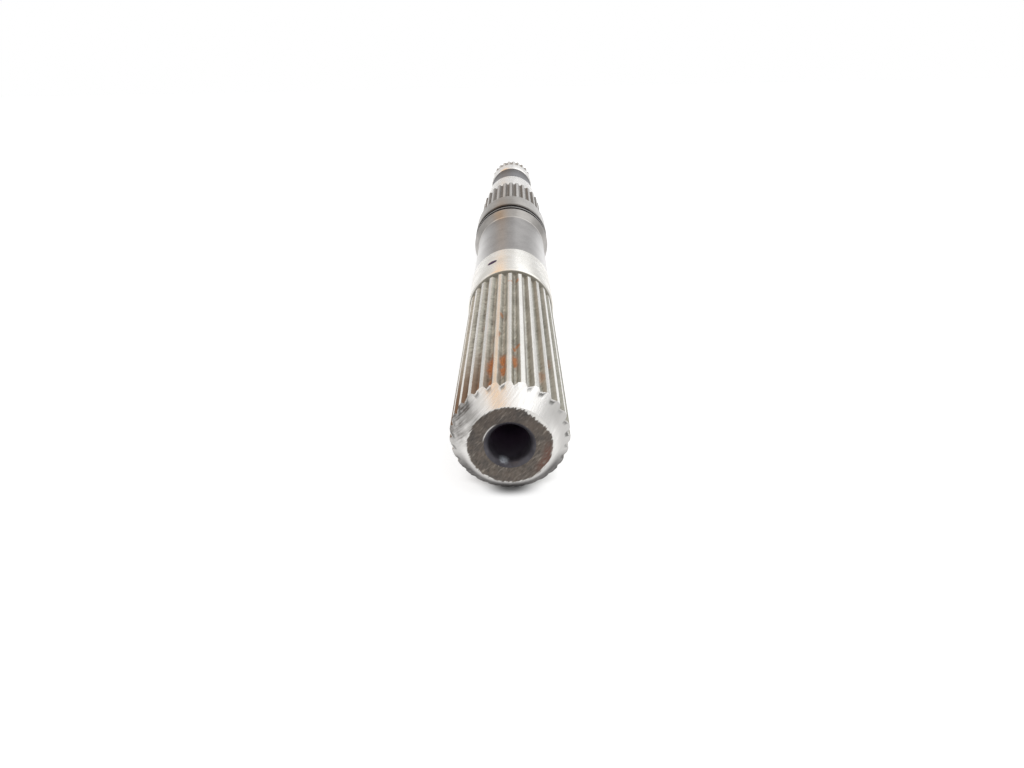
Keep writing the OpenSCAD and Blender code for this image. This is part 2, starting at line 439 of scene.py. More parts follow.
def hole_patch():
    """Rings from a square of the seat's grid to a round rim, down the wall to a flat bottom.

    A ring's points are the square's, moved a share of the way to the circle in the same direction, and they
    lie on the seat where the height over the axis is sqrt(seat radius^2 - sideways^2).
    """
    block = turned_grid[hole_row : hole_row + HOLE_SPAN + 1, hole_column : hole_column + HOLE_SPAN + 1]
    loop = np.concatenate([block[0, :-1], block[:-1, -1], block[-1, :0:-1], block[:0:-1, 0]])
    square = np.concatenate(points)[loop]
    out = np.array([np.sin(CLIP_TURN), 0, np.cos(CLIP_TURN)])
    sideways = np.array([np.cos(CLIP_TURN), 0, -np.sin(CLIP_TURN)])
    flat = np.stack([square @ sideways, square[:, 1] - CLIP_AT], axis=1)
    direction = flat / np.linalg.norm(flat, axis=1, keepdims=True)
    rings = [flat * (1 - share) + direction * (CLIP_R + 0.16) * share for share in (0.4, 0.75, 0.93, 1.0)]
    heights = [np.sqrt(SEAT_R**2 - ring[:, 0] ** 2) for ring in rings]
    rings += [direction * (CLIP_R + 0.04), direction * CLIP_R, direction * CLIP_R, direction * CLIP_R * 0.4]
    rim = np.sqrt(SEAT_R**2 - rings[5][:, 0] ** 2)
    bottom = np.full(len(loop), SEAT_R - CLIP_DEPTH)
    heights += [rim - 0.05, rim - 0.18, bottom, bottom]
    skins = [SKIN["ground_seat"]] * 5 + [SKIN["bore_skin"]] * 3
    ring = loop
    for flat_ring, height, skin in zip(rings, heights, skins):
        place = height[:, None] * out + flat_ring[:, :1] * sideways
        place[:, 1] += CLIP_AT + flat_ring[:, 1]
        inner = add_points(place)
        add_faces(np.stack([ring, np.roll(ring, -1), np.roll(inner, -1), inner], axis=1), skin)
        ring = inner
    centre = add_points((SEAT_R - CLIP_DEPTH) * out[None] + np.array([[0, CLIP_AT, 0]]))
    add_faces(np.stack([ring, np.roll(ring, -1), np.full(len(ring), centre[0])], axis=1), SKIN["bore_skin"])
    return len(loop)


print("Points round the clip hole:", hole_patch())

# %% [markdown]
# ## Second spline, journal, neck and pilot
# The far third repeats the same two ideas: a toothed block whose end rows follow the chamfers across the
# teeth, and a turned path for the bearing journal, the neck and the pilot. The far face gets the turning
# centre that a shaft ground between centres always has.

# %% Toothed block with a chamfer at each end


def toothed_block(angles, section, start_y, start_edge, end_y, skin):
    """A spline between two 45 degree chamfers. A row of points lies where each chamfer meets the teeth."""
    tip = section.max()
    start_r = tip - start_edge
    end_r = tip - TOOTH_EDGE
    first = lead_in(section, start_r, start_y, tip, start_y + start_edge)
    last = end_y - lead_in(section, end_r, 0, tip, TOOTH_EDGE)
    inner_y = np.linspace(first + 0.3, last - 0.3, 5)
    along = np.vstack([0 * section + start_y, first + 0.01, inner_y, last - 0.01, 0 * section + end_y])
    radius = np.tile(section, (len(along), 1))
    radius[0] = np.minimum(section, start_r)
    radius[-1] = np.minimum(section, end_r)
    return add_rings(angles, radius, along, np.full(len(along) - 1, skin))


hub_start = HUB_AT + HUB_RELIEF_W
hub_grid = toothed_block(hub_angles, hub_radius, hub_start, EDGE, JOURNAL_AT, SKIN["hub_spline_skin"])
join_rings(turned_grid[-1], seat_angles, hub_grid[0], hub_angles, SKIN["groove_skin"])
print("Rings of the second spline:", len(hub_grid))

# %% Journal, neck and smooth pilot
far_path = rounded(
    [
        (JOURNAL_R, JOURNAL_AT + 0.05),
        (JOURNAL_R, NECK_AT - EDGE),
        (JOURNAL_R - EDGE, NECK_AT),
        (NECK_R, NECK_AT),
        (NECK_R, PILOT_AT),
        (PILOT_R, PILOT_AT + PILOT_R - NECK_R),
        (PILOT_R, PILOT_TEETH_AT - EDGE),
        (PILOT_TEETH["tip_r"], PILOT_TEETH_AT),
        (PILOT_TEETH["tip_r"], PILOT_TEETH_AT + EDGE - 0.04),
    ],
    SMALL_ROUND,
)
mid_y = (far_path[1:, 1] + far_path[:-1, 1]) / 2
far_skins = np.select(
    [mid_y < NECK_AT - 0.02, mid_y < PILOT_AT + 0.05],
    [SKIN["ground_journal"], SKIN["dark_neck"]],
    SKIN["ground_journal"],
)
far_grid = add_rings(round_angles, far_path[:, :1], far_path[:, 1:], far_skins)
join_rings(hub_grid[-1], hub_angles, far_grid[0], round_angles, SKIN["groove_skin"])
pilot_start = PILOT_TEETH_AT + EDGE
pilot_grid = toothed_block(pilot_angles, pilot_radius, pilot_start, 0.02, END_AT, SKIN["pilot_spline_skin"])
join_rings(far_grid[-1], round_angles, pilot_grid[0], pilot_angles, SKIN["pilot_spline_skin"])
print("Rings from the journal to the pilot's teeth:", len(far_grid) + len(pilot_grid))

# %% Far face with its turning centre
centre_depth = (CENTRE_R - CENTRE_DRILL_R) / np.tan(CENTRE_ANGLE)
face_path = rounded(
    [
        (PILOT_TEETH["tip_r"] - PILOT_TEETH["depth"] - 0.15, END_AT),
        (CENTRE_R, END_AT),
        (CENTRE_DRILL_R, END_AT - centre_depth),
        (CENTRE_DRILL_R, END_AT - CENTRE_DRILL_DEPTH),
        (0.3, END_AT - CENTRE_DRILL_DEPTH),
    ],
    SMALL_ROUND,
)
face_skins_far = np.full(len(face_path) - 1, SKIN["faced_end"])
face_grid = add_rings(round_angles, face_path[:, :1], face_path[:, 1:], face_skins_far)
join_rings(pilot_grid[-1], pilot_angles, face_grid[0], round_angles, SKIN["faced_end"])
cap(face_grid[-1], END_AT - CENTRE_DRILL_DEPTH, SKIN["faced_end"], at_start=False)
print("Rings of the far face:", len(face_grid))

# %% [markdown]
# ## One mesh that stands for the CAD solid
# All blocks share their edges, so the skin is one closed surface. Smooth shading with sharp edges above 35
# degrees keeps cylinders round and shoulders crisp. The object stays at the origin with its place in its
# mesh.

# %% Make the shaft


def add_object(name, data):
    """A new object at the origin, linked into the scene."""
    made = bpy.data.objects.new(name, data)
    bpy.context.scene.collection.objects.link(made)
    return made


mesh = bpy.data.meshes.new("output_shaft_skin")
all_points = np.concatenate(points) * MM
mesh.from_pydata(all_points.tolist(), [], [row for block in faces for row in block.tolist()])
mesh.polygons.foreach_set("material_index", np.concatenate(face_skins).astype(np.int32))
mesh.polygons.foreach_set("use_smooth", np.ones(len(mesh.polygons), bool))
mesh.set_sharp_from_angle(angle=np.radians(35))
painted_burr_shading = np.zeros(len(all_points))
painted_burr_shading[burr_points] = burr_highlight_and_shade
mesh.attributes.new("burr_highlight_and_shade", "FLOAT", "POINT").data.foreach_set("value", painted_burr_shading)
mesh.update()
shaft = add_object("shaft_skin", mesh)
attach(shaft, "root")
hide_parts("output_shaft")
triangle_count = sum(len(p.vertices) - 2 for p in mesh.polygons)
print("Shaft skin:", len(mesh.vertices), "points,", triangle_count, "triangles")

# %% [markdown]
# ## Building blocks for the finishes
# Every finish is a tree of shader nodes. Small helpers keep the trees readable: most add a node with its
# options and inputs, and two make and place node groups.

# %% Node helpers


def feed(tree, node, inputs):
    """Gives each named input of a node a constant or a link."""
    for key, value in inputs.items():
        if isinstance(value, bpy.types.NodeSocket):
            tree.links.new(value, node.inputs[key])
        else:
            node.inputs[key].default_value = value


def put(tree, kind, inputs=None, **options):
    """Adds a shader node of a kind such as Math, sets its options and feeds its inputs."""
    made = tree.nodes.new("ShaderNode" + kind)
    for name, value in options.items():
        setattr(made, name, value)
    feed(tree, made, inputs or {})
    return made


def calc(tree, operation, first, second=0.0, third=0.0):
    """A Math node's result."""
    return put(tree, "Math", {0: first, 1: second, 2: third}, operation=operation).outputs[0]


def times(tree, first, second):
    """Two values multiplied."""
    return calc(tree, "MULTIPLY", first, second)


def scaled(tree, value, factor, added):
    """A value times a factor, plus an added value."""
    return calc(tree, "MULTIPLY_ADD", value, factor, added)


def away_from(tree, value, middle):
    """How far a value lies from a middle value, on either side."""
    return calc(tree, "ABSOLUTE", calc(tree, "SUBTRACT", value, middle))


def fade(tree, value, start, end, low=0.0, high=1.0):
    """A smooth step from low to high as the value goes from start to end."""
    inputs = {"Value": value, "From Min": start, "From Max": end, "To Min": low, "To Max": high}
    return put(tree, "MapRange", inputs, interpolation_type="SMOOTHSTEP").outputs[0]


def blend(tree, share, first, second):
    """A colour between two colours."""
    return put(tree, "Mix", {0: share, 6: first, 7: second}, data_type="RGBA").outputs[2]


def noise(tree, vector, scale, detail=4.0, roughness=0.55):
    """A cloudy value from 0 to 1."""
    inputs = {"Vector": vector, "Scale": scale, "Detail": detail, "Roughness": roughness}
    return put(tree, "TexNoise", inputs).outputs[0]


def vectors(tree, operation, inputs):
    """The outputs of a Vector Math node."""
    return put(tree, "VectorMath", inputs, operation=operation).outputs


def parts(tree, vector):
    """The X, Y and Z of a vector."""
    return put(tree, "SeparateXYZ", {0: vector}).outputs


def stretch(tree, vector, turn, scale):
    """The vector turned about Y by an angle in degrees, then scaled along each axis."""
    inputs = {"Vector": vector, "Rotation": (0, np.radians(turn), 0)}
    turned = put(tree, "Mapping", inputs).outputs[0]
    return put(tree, "Mapping", {"Vector": turned, "Scale": scale}).outputs[0]


def new_group(name, inputs, outputs):
    """An empty shader node group: its tree, the sockets that come in and those that go out."""
    tree = bpy.data.node_groups.new(name, "ShaderNodeTree")
    for title, kind in inputs:
        tree.interface.new_socket(title, in_out="INPUT", socket_type=kind)
    for title, kind in outputs:
        tree.interface.new_socket(title, in_out="OUTPUT", socket_type=kind)
    return tree, tree.nodes.new("NodeGroupInput").outputs, tree.nodes.new("NodeGroupOutput").inputs


def place_group(tree, group, inputs=None):
    """Places a node group and returns its outputs."""
    return put(tree, "Group", inputs, node_tree=group).outputs


def screen(red, green, blue):
    """A colour written as 0 to 255 on a screen, as the linear colour that Blender's sockets take."""
    part = np.array([red, green, blue]) / 255
    linear = np.where(part <= 0.04045, part / 12.92, ((part + 0.055) / 1.055) ** 2.4)
    return (*linear.tolist(), 1.0)


print("Mid grey on a screen is", round(screen(128, 128, 128)[0], 3), "in light")

# %% [markdown]
# ## Where on the shaft
# The finishes follow the shaft's own round shape. One group turns Object coordinates into millimetres, an
# angle round the axis in degrees from straight up, a place along the axis and a radius, so a material can say
# "on the lands" or "near the drilled end".

# %% Group: place on the shaft
FLOAT = "NodeSocketFloat"
VECTOR = "NodeSocketVector"
COLOUR = "NodeSocketColor"
shaft_place, _, outs = new_group(
    "shaft_place", [], [("Point", VECTOR), ("Angle", FLOAT), ("Along", FLOAT), ("Radius", FLOAT)]
)
where = put(shaft_place, "TexCoord").outputs["Object"]
in_mm = vectors(shaft_place, "SCALE", {0: where, "Scale": 1000.0})[0]
x, y, z = parts(shaft_place, in_mm)
across = vectors(shaft_place, "MULTIPLY", {0: in_mm, 1: (1, 0, 1)})[0]
radius = vectors(shaft_place, "LENGTH", {0: across})["Value"]
angle = calc(shaft_place, "DEGREES", calc(shaft_place, "ARCTAN2", x, z))
for socket, value in zip(outs, (in_mm, angle, y, radius)):
    shaft_place.links.new(value, socket)
print("Group", shaft_place.name, "gives", [s.name for s in outs if s.name])

# %% [markdown]
# ## Rust
# Light rust sits in a few valleys near the drilled end, with smaller flecks along the teeth. Each patch is a
# soft ellipse at an angle and a place along the axis, and cloudy noise eats its edge. A faint speckle all
# round stands for the smallest flecks. Orange is fresh rust, and brown is older.

# %% Group: rust
RUST_PATCHES = [
    (-19, 17.5, 3.4, 5.4, 1.0),
    (-6.4, 19.5, 3.0, 3.6, 1.0),
    (-5.8, 13.5, 3.0, 3.2, 0.95),
    (5.8, 19.0, 2.6, 3.4, 0.9),
    (5.6, 27.0, 1.9, 1.1, 0.9),
    (8.8, 28.8, 2.2, 1.1, 0.85),
    (-18, 25, 1.4, 1.4, 0.7),
    (-17, 35, 1.4, 1.7, 0.6),
    (-11.6, 37, 1.4, 2.2, 0.6),
    (-31, 30, 1.8, 1.8, 0.6),
    (-9.5, 53.5, 1.6, 2.0, 0.7),
    (-32, 50, 1.4, 2.0, 0.6),
    (-31, 76, 1.6, 2.4, 0.75),
    (0.5, 86, 3.4, 0.9, 0.8),
    (10.4, 88.5, 2.0, 1.8, 0.75),
    (-31, 85, 1.6, 2.0, 0.6),
    (-46, 33, 1.8, 2.6, 0.5),
    (-45, 8, 2.4, 2.6, 0.6),
    (-32, 9, 2.2, 2.6, 0.6),
    (-19, 7.5, 2.4, 2.4, 0.7),
    (35, 14, 2.2, 3.5, 0.3),
    (48, 27, 1.8, 3.0, 0.3),
    (96, 40, 3.0, 6.0, 0.7),
    (-109, 62, 3.0, 7.0, 0.7),
    (161, 25, 4.0, 6.0, 0.8),
]
rust, _, outs = new_group("rust", [], [("Mask", FLOAT), ("Colour", COLOUR)])
place = place_group(rust, shaft_place)
spot_at = put(rust, "CombineXYZ", {0: place["Angle"], 1: place["Along"]}).outputs[0]
ragged = scaled(rust, noise(rust, place["Point"], 0.7, 6.0, 0.7), 1.9, -0.95)
speckle = fade(rust, noise(rust, place["Point"], 0.22, 7.0, 0.75), 0.66, 0.8, 0.0, 0.5)
mask = speckle
for at_angle, at_along, wide, long, strength in RUST_PATCHES:
    size = {0: spot_at, 1: (1 / wide, 1 / long, 0), 2: (-at_angle / wide, -at_along / long, 0)}
    off_middle = vectors(rust, "MULTIPLY_ADD", size)[0]
    distance = vectors(rust, "LENGTH", {0: off_middle})["Value"]
    spot = fade(rust, calc(rust, "ADD", distance, ragged), 1.5, 0.5, 0.0, strength)
    mask = calc(rust, "MAXIMUM", mask, spot)
grain = noise(rust, place["Point"], 1.9, 5.0, 0.65)
fresh = blend(rust, fade(rust, grain, 0.35, 0.65), screen(150, 96, 60), screen(212, 136, 74))
rust.links.new(mask, outs["Mask"])
rust.links.new(fresh, outs["Colour"])
print("Group rust has", len(RUST_PATCHES), "patches")

# %% [markdown]
# ## Scratches, turning rings and dull film
# Grinding by hand leaves long scratches in one direction, and turning leaves fine rings. Both are noise that
# is stretched: far along the scratch and tightly across it. Old oil leaves a cloudy film. The three are
# groups, because several finishes use them with their own values.

# %% Groups: scratches, rings and film
scratches, ins, outs = new_group("scratches", [("Vector", VECTOR)], [("Lines", FLOAT), ("Deep", FLOAT)])
fine = noise(scratches, ins["Vector"], 1.0, 5.0, 0.7)
coarse = noise(scratches, ins["Vector"], 0.37, 2.0, 0.5)
scratches.links.new(fade(scratches, fine, 0.3, 0.7), outs["Lines"])
scratches.links.new(fade(scratches, coarse, 0.52, 0.72), outs["Deep"])

rings, ins, outs = new_group("turning_rings", [("Along", FLOAT), ("Scale", FLOAT)], [("Rings", FLOAT)])
wave = put(
    rings,
    "TexNoise",
    {"W": ins["Along"], "Scale": ins["Scale"], "Detail": 6.0, "Roughness": 0.7},
    noise_dimensions="1D",
).outputs[0]
rings.links.new(fade(rings, wave, 0.3, 0.7), outs["Rings"])

film, ins, outs = new_group(
    "dull_film", [("Point", VECTOR), ("Scale", FLOAT)], [("Film", FLOAT), ("Mottle", FLOAT)]
)
cloud = noise(film, ins["Point"], ins["Scale"], 5.0, 0.6)
fleck = vectors(film, "ADD", {0: ins["Point"], 1: (9.0, 7.0, 8.0)})[0]
mottle = noise(film, fleck, 1.6, 5.0, 0.7)
film.links.new(fade(film, cloud, 0.35, 0.68), outs["Film"])
film.links.new(fade(film, mottle, 0.3, 0.7), outs["Mottle"])
print("Groups:", [g.name for g in bpy.data.node_groups])

# %% [markdown]
# ## Materials
# Each material is a Principled BSDF, fully metal where the steel is bare and less so under scale, dirt or
# rust. The finishes differ in base colour, roughness and in what marks them. Bump only carries the finest
# relief, such as scratches a few hundredths of a millimetre deep.

# %% Helper: a metal material with relief


def new_material(name):
    """A new material, its node tree and its Principled shader."""
    material = bpy.data.materials.new(name)
    material.use_nodes = True
    return material, material.node_tree, material.node_tree.nodes["Principled BSDF"]


def new_metal(name, draw_finish):
    """A metal material. The function draw_finish adds the nodes of one finish.

    It returns their colour, roughness, height, metal and the strength of the relief.
    """
    material, tree, shader = new_material(name)
    colour, roughness, height, metal, strength = draw_finish(tree, place_group(tree, shaft_place))
    bump = {"Height": height, "Strength": strength, "Distance": 0.0001}
    relief = put(tree, "Bump", bump).outputs[0]
    feed(tree, shader, {"Base Color": colour, "Roughness": roughness, "Metallic": metal, "Normal": relief})
    return material


def film_on(tree, place, scale):
    """The dull film at a place on the shaft. A larger scale gives smaller clouds."""
    return place_group(tree, film, {"Point": place["Point"], "Scale": scale})


print("Relief is measured in tenths of a millimetre")

# %% Ground and turned finishes


def ground(colour, dark, low, high, ring_scale, highlight_ring=(-2.0, 0.5)):
    """Ground steel: fine rings change its brightness and gloss a little, and a thin film dulls patches of it.

    Its last argument gives the middle and the half width of a paler ring: a painted highlight, which the film
    breaks up.
    """

    def draw(tree, place):
        ring = place_group(tree, rings, {"Along": place["Along"], "Scale": ring_scale})["Rings"]
        haze = film_on(tree, place, 0.16)
        share = scaled(tree, ring, 0.35, times(tree, haze["Film"], 0.4))
        tint = blend(tree, share, colour, dark)
        # The paler ring is a painted highlight, broken up where the film lies.
        off_highlight = away_from(tree, place["Along"], highlight_ring[0])
        patchy = fade(tree, haze["Film"], 0.2, 0.9, 0.25, 0.9)
        line = times(tree, fade(tree, off_highlight, highlight_ring[1], 0.0), patchy)
        tint = blend(tree, line, tint, screen(232, 228, 222))
        gloss = scaled(tree, share, high - low, low)
        height = scaled(tree, haze["Mottle"], 0.3, ring)
        return tint, gloss, height, 1.0, 0.08

    return draw


def dull(colour, dark, roughness, ring_scale, side_sheen, sheen_free_angle=0.0, dark_band=(-2.0, -1.0)):
    """Dull steel straight from turning and heat treatment: mottled, with soft rings and darker clouds.

    Away from one angle round the axis the sides are painted paler, a painted reflection of the white table.
    Two values give its share where the body starts and where it ends. Another two places along the axis
    give a darker band: darkest at the first, faded out at the second.
    """

    def draw(tree, place):
        ring = place_group(tree, rings, {"Along": place["Along"], "Scale": ring_scale})["Rings"]
        haze = film_on(tree, place, 0.11)
        share = scaled(tree, haze["Mottle"], 0.45, times(tree, haze["Film"], 0.3))
        share = scaled(tree, ring, 0.12, share)
        tint = blend(tree, share, colour, dark)
        # The sides are painted paler: a painted reflection of the white table, less on the far part of the
        # body.
        from_sheen_free = away_from(tree, place["Angle"], sheen_free_angle)
        most = fade(tree, place["Along"], BODY_AT, CONE_AT, *side_sheen)
        side_sheen_share = times(tree, fade(tree, from_sheen_free, 20.0, 70.0), most)
        tint = blend(tree, side_sheen_share, tint, screen(240, 239, 238))
        # A band along the axis is darker.
        dark_band_share = fade(tree, place["Along"], dark_band[1], dark_band[0], 0.0, 0.8)
        tint = blend(tree, dark_band_share, tint, screen(58, 54, 52))
        gloss = scaled(tree, share, 0.12, roughness)
        height = calc(tree, "ADD", haze["Mottle"], ring)
        return tint, gloss, height, 1.0, 0.05

    return draw


print("Two kinds of turned finish")

# %% Splines
BROWN = screen(126, 100, 78)


def spline(form, land, valley, root, rust_share):
    """Teeth: narrow bright worn lands, dull gritty valleys that are browner near the drilled end, and rust.

    The grit is noise on the unrolled surface, drawn out on a slant: across = radius * angle, along = the
    axis. The distance from the middle of the nearest land is the angle wrapped into one pitch. On the right
    side of the shaft the flanks that face right get a painted highlight and those that face left a painted
    shade.
    """
    tip_r = form["tip_r"]
    depth = form["depth"]
    half_pitch = 180.0 / form["teeth"]

    def draw(tree, place):
        haze = film_on(tree, place, 0.14)
        arc = times(tree, place["Angle"], float(np.radians(tip_r)))
        slanted = scaled(tree, place["Along"], -0.3, arc)
        unrolled = put(tree, "CombineXYZ", {0: slanted, 1: times(tree, place["Along"], 0.16)})
        grit = stretch(tree, unrolled.outputs[0], 0, (1.9, 3.0, 1.0))
        marks = place_group(tree, scratches, {"Vector": grit})
        worn = scaled(tree, haze["Mottle"], -0.07, place["Radius"])
        from_land = calc(tree, "SUBTRACT", place["Angle"], float(np.degrees(form["turn"])))
        from_land = calc(tree, "WRAP", from_land, half_pitch, -half_pitch)
        off_land = times(tree, calc(tree, "ABSOLUTE", from_land), float(np.radians(tip_r)))
        off_land = scaled(tree, marks["Lines"], 0.12, off_land)
        on_land = fade(tree, off_land, form["land"] * 0.54, form["land"] * 0.4)
        on_land = times(tree, on_land, fade(tree, worn, tip_r - 0.2, tip_r - 0.05))
        low = fade(tree, place["Radius"], tip_r - 0.1, tip_r - depth + 0.1, 0.5, 1.0)
        dirt = scaled(tree, haze["Film"], 0.4, times(tree, marks["Lines"], 0.65))
        floor = blend(tree, times(tree, low, dirt), valley, root)
        near = fade(tree, place["Along"], 42.0, 8.0, 0.0, 0.95)
        tinge = times(tree, near, fade(tree, place["Angle"], 6.0, -44.0))
        right = fade(tree, place["Angle"], 4.0, 20.0)
        # Right of the top, flanks that face right get a painted highlight and flanks that face left a painted
        # shade.
        lit_flank = fade(tree, from_land, half_pitch, half_pitch * 0.55, 0.4, 0.75)
        lit_flank = times(tree, lit_flank, fade(tree, from_land, -0.01, 0.01))
        floor = blend(tree, times(tree, lit_flank, right), floor, land)
        shaded_flank = fade(tree, from_land, -half_pitch, -half_pitch * 0.55, 0.0, 0.4)
        shaded_flank = times(tree, shaded_flank, fade(tree, from_land, 0.01, -0.01))
        floor = blend(tree, times(tree, shaded_flank, right), floor, root)
        floor = blend(tree, tinge, floor, BROWN)
        worn_land = blend(tree, times(tree, haze["Film"], 0.35), land, valley)
        grimy = fade(tree, place["Angle"], -24.0, -60.0, 0.0, 0.3 * rust_share)
        worn_land = blend(tree, grimy, worn_land, BROWN)
        steel = blend(tree, on_land, floor, worn_land)
        stain = place_group(tree, rust)
        share = times(tree, stain["Mask"], fade(tree, on_land, 0.0, 1.0, rust_share, rust_share * 0.45))
        tint = blend(tree, share, steel, stain["Colour"])
        gloss = scaled(tree, on_land, -0.26, 0.52)
        gloss = scaled(tree, share, 0.3, gloss)
        metal = scaled(tree, share, -0.85, 1.0)
        height = scaled(tree, share, 2.4, marks["Lines"])
        return tint, gloss, height, metal, 0.1

    return draw


print("Splines: lands, valleys and rust")

# %% Scratched end, chamfer, bore and far face


def scratched_face(tree, place):
    """The end ring: dark scale with lighter scratches that all run one way, reddish rust on its right side,
    and a painted highlight on the upper left edge of the bore's mouth.
    """
    lines = place_group(tree, scratches, {"Vector": stretch(tree, place["Point"], 48, (0.75, 1.0, 5.2))})
    haze = film_on(tree, place, 0.3)
    scale = blend(tree, haze["Film"], screen(88, 79, 73), screen(64, 60, 60))
    light = times(tree, lines["Lines"], fade(tree, lines["Deep"], 0.0, 1.0, 0.35, 1.0))
    height = parts(tree, place["Point"])[2]
    light = times(tree, light, fade(tree, height, 9.0, -3.0, 0.55, 1.0))
    tint = blend(tree, light, scale, screen(172, 163, 151))
    side = fade(tree, place["Angle"], 76.0, 102.0)
    side = times(tree, side, fade(tree, place["Angle"], 146.0, 122.0))
    side = times(tree, side, fade(tree, place["Radius"], 7.6, 9.4))
    red = times(tree, side, fade(tree, lines["Lines"], 0.2, 0.8, 0.75, 0.15))
    tint = blend(tree, red, tint, screen(114, 72, 61))
    upper_right = away_from(tree, place["Angle"], 42.0)
    reach = fade(tree, upper_right, 34.0, 4.0, 10.25, 9.4)
    nicks = place_group(tree, scratches, {"Vector": stretch(tree, place["Point"], 48, (0.16, 1.0, 2.4))})
    jagged = scaled(tree, nicks["Lines"], 0.9, place["Radius"])
    bare = fade(tree, calc(tree, "SUBTRACT", jagged, reach), 0.45, 0.75)
    tint = blend(tree, bare, tint, screen(226, 224, 220))
    # A painted highlight along the upper left edge of the bore's mouth.
    rim = fade(tree, away_from(tree, place["Radius"], 6.62), 0.24, 0.06, 0.0, 0.85)
    rim_part = away_from(tree, place["Angle"], -54.0)
    rim = times(tree, rim, fade(tree, rim_part, 30.0, 12.0))
    tint = blend(tree, rim, tint, screen(218, 217, 214))
    gloss = scaled(tree, light, -0.12, 0.52)
    return tint, gloss, lines["Lines"], 0.85, 0.35


def ground_cone(tree, place):
    """The chamfer: bright steel, ground on a slant by hand, with darker scratches on its left side, and
    painted shade on its sides and underside, where it faces the shadowed table.
    """
    lines = place_group(tree, scratches, {"Vector": stretch(tree, place["Point"], 48, (0.11, 0.3, 2.2))})
    haze = film_on(tree, place, 0.22)
    left = away_from(tree, place["Angle"], -66.0)
    left = fade(tree, left, 34.0, 14.0, 0.06, 1.0)
    share = times(tree, calc(tree, "MAXIMUM", lines["Deep"], haze["Film"]), left)
    fine = times(tree, lines["Lines"], fade(tree, left, 0.06, 1.0, 0.18, 0.62))
    share = times(tree, share, fade(tree, place["Radius"], 11.4, 13.8, 0.3, 1.0))
    share = scaled(tree, share, 0.7, fine)
    tint = blend(tree, share, screen(240, 238, 235), screen(112, 107, 102))
    # Painted shade on the sides and underside of the chamfer, which face the shadowed table.
    below = calc(tree, "ABSOLUTE", place["Angle"])
    sides = fade(tree, below, 28.0, 62.0, 0.0, 0.3)
    under = calc(tree, "MAXIMUM", sides, fade(tree, below, 88.0, 130.0, 0.0, 0.97))
    under = times(tree, under, fade(tree, lines["Lines"], 0.0, 1.0, 1.0, 0.8))
    under = times(tree, under, fade(tree, place["Radius"], 10.9, 13.0, 0.3, 1.0))
    tint = blend(tree, under, tint, screen(78, 73, 72))
    painted_burr_shading = put(tree, "Attribute", attribute_name="burr_highlight_and_shade").outputs["Fac"]
    # Painted shade on the facet below each burr's lip, and a painted highlight on the lip.
    tint = blend(tree, fade(tree, painted_burr_shading, 0.0, -0.9, 0.0, 0.85), tint, screen(96, 95, 92))
    tint = blend(tree, fade(tree, painted_burr_shading, 0.2, 1.0), tint, screen(244, 243, 240))
    gloss = scaled(tree, lines["Lines"], 0.14, 0.22)
    gloss = scaled(tree, under, 0.35, gloss)
    metal = scaled(tree, under, -0.85, 1.0)
    return tint, gloss, lines["Lines"], metal, 0.18


def bore_wall(tree, place):
    """The bore: dark blue-grey scale, a little purple further in, with a painted glint low on its mouth."""
    haze = film_on(tree, place, 0.3)
    mouth = blend(tree, haze["Film"], screen(88, 86, 92), screen(66, 63, 69))
    inside = fade(tree, place["Along"], 1.0, 14.0)
    tint = blend(tree, inside, mouth, screen(120, 102, 124))
    # A painted glint low on the bore's mouth.
    from_glint = vectors(tree, "DISTANCE", {0: place["Point"], 1: (-1.6, 2.0, -4.8)})["Value"]
    glint = fade(tree, scaled(tree, haze["Mottle"], 0.5, from_glint), 2.0, 0.1, 0.0, 0.9)
    tint = blend(tree, glint, tint, screen(222, 229, 238))
    gloss = scaled(tree, haze["Film"], 0.1, 0.32)
    return tint, gloss, haze["Film"], 0.45, 0.06


def groove_floor(tree, place):
    """Grooves and shoulders that nothing rubs: dark, oily and matt."""
    haze = film_on(tree, place, 0.3)
    tint = blend(tree, haze["Film"], screen(72, 69, 68), screen(46, 44, 44))
    # The relief groove and the seat's front shoulder are painted paler, a painted light that lifts their
    # shade.
    relief_shade_lift = fade(tree, place["Along"], 100.0, 99.5, 0.0, 0.9)
    tint = blend(tree, relief_shade_lift, tint, screen(178, 174, 164))
    gloss = scaled(tree, haze["Mottle"], 0.14, 0.5)
    return tint, gloss, haze["Mottle"], 1.0, 0.1


def lathe_face(tree, place):
    """The far face: cut on the lathe, so fine rings run round the axis, under patches of thin old oil."""
    ring = place_group(tree, rings, {"Along": place["Radius"], "Scale": 2.6})["Rings"]
    haze = film_on(tree, place, 0.2)
    share = scaled(tree, ring, 0.45, times(tree, haze["Film"], 0.45))
    tint = blend(tree, share, screen(204, 201, 196), screen(124, 117, 108))
    gloss = scaled(tree, share, 0.15, 0.28)
    return tint, gloss, ring, 1.0, 0.12


print("Finishes of the two ends")

